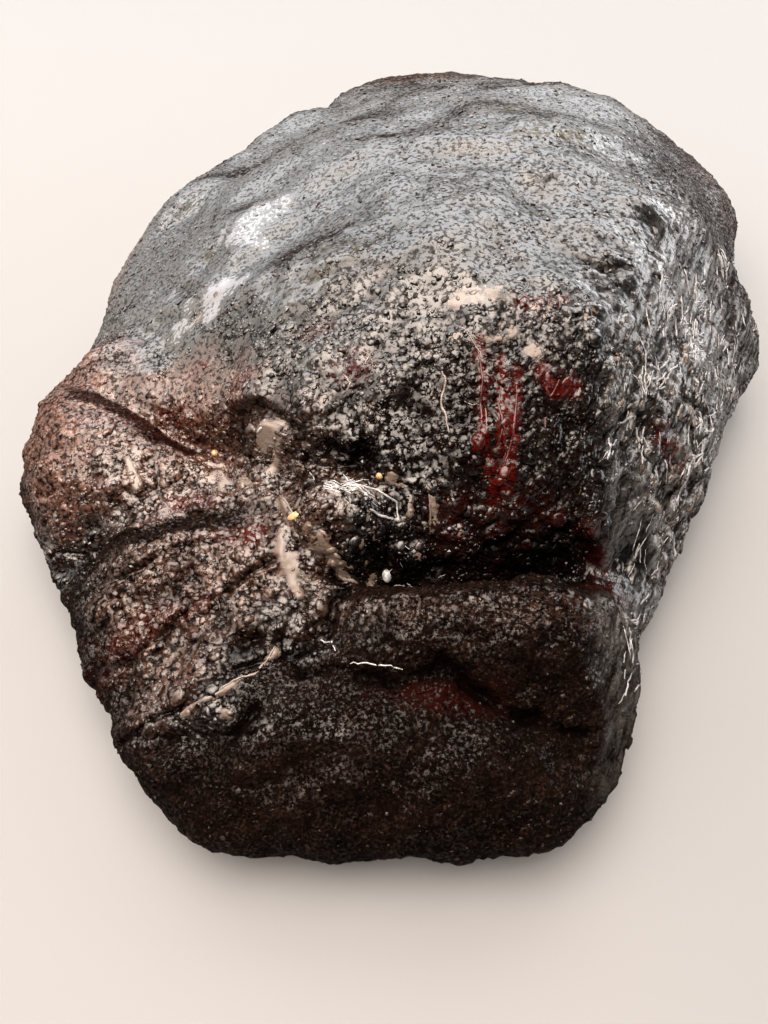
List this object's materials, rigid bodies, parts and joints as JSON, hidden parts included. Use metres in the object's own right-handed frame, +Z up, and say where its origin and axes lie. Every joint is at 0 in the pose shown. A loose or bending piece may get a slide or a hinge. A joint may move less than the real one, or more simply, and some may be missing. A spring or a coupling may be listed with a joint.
{
  "type": "beef brisket",
  "caption": "Whole smoked beef brisket with a dark pepper bark, domed in the middle, folded and lobed at its blunt end, flat underneath to rest on.",
  "frame": {"origin": "middle of the footprint, on the level that the brisket rests on", "axes": "+Z up, +Y along the length towards the thin end, -Y towards the thick blunt folded end, +X towards the steeper long side"},
  "size_m": [0.276, 0.39, 0.094],
  "materials": {
    "bark": "smoked black-brown pepper bark, wet and glossy with rendered fat on top, drier on the blunt end and the rim"
  },
  "bodies": {
    "root": {"brisket": "bark"}
  },
  "joints": []
}
